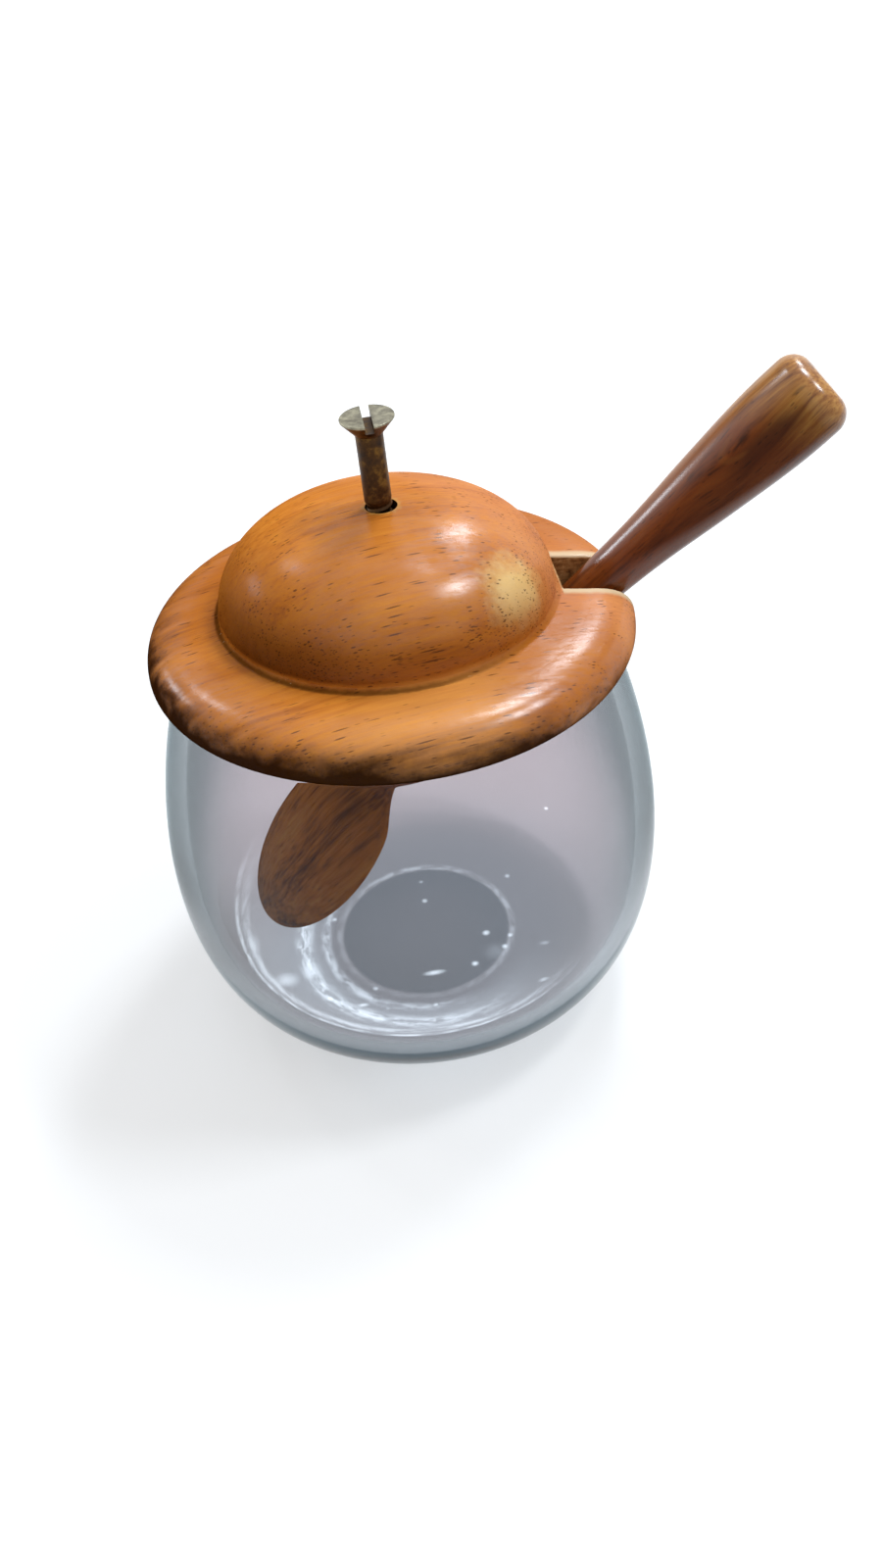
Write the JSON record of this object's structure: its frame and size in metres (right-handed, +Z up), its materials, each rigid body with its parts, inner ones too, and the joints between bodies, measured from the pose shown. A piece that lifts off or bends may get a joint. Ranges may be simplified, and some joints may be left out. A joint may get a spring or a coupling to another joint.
{
  "type": "honey pot",
  "caption": "Round clear glass honey pot with a loose turned wooden lid, spoon notch, standing brass screw and a carved wooden spoon through the notch.",
  "frame": {"origin": "on the pot's axis, in the plane of the foot ring it stands on", "axes": "+Z up along the pot's axis; +X towards the spoon notch, so the notch is symmetric about the XZ plane; +Y to the left of the spoon's handle when it points away"},
  "size_m": [0.1301, 0.0982, 0.1226],
  "materials": {
    "clear_glass": "clear polished blown glass with a thick base",
    "lid_wood": "warm orange-brown teak, satin lacquer, fine dark pores",
    "aged_brass": "brass gone dark brown, head face worn grey",
    "spoon_wood": "dark red-brown wood, glossy handle, dull bowl"
  },
  "bodies": {
    "pot": {"glass_pot": "clear_glass"},
    "lid": {"lid": "lid_wood"},
    "screw": {"lid_screw": "aged_brass"},
    "spoon": {"spoon": "spoon_wood"}
  },
  "joints": [
    {"name": "lid_lift", "type": "slide", "parent": "pot", "child": "lid", "axis": [0, 0, 1], "range_m": [0, 0.075]},
    {"name": "spoon_draw", "type": "slide", "parent": "pot", "child": "spoon", "axis": [0.7447, -0.0442, 0.6659], "range_m": [0, 0.045]},
    {"name": "screw_turn", "type": "hinge", "parent": "lid", "child": "screw", "pos_m": [0.0004, 0, 0.106], "axis": [-0.0227, 0, 0.9997], "continuous": true}
  ]
}
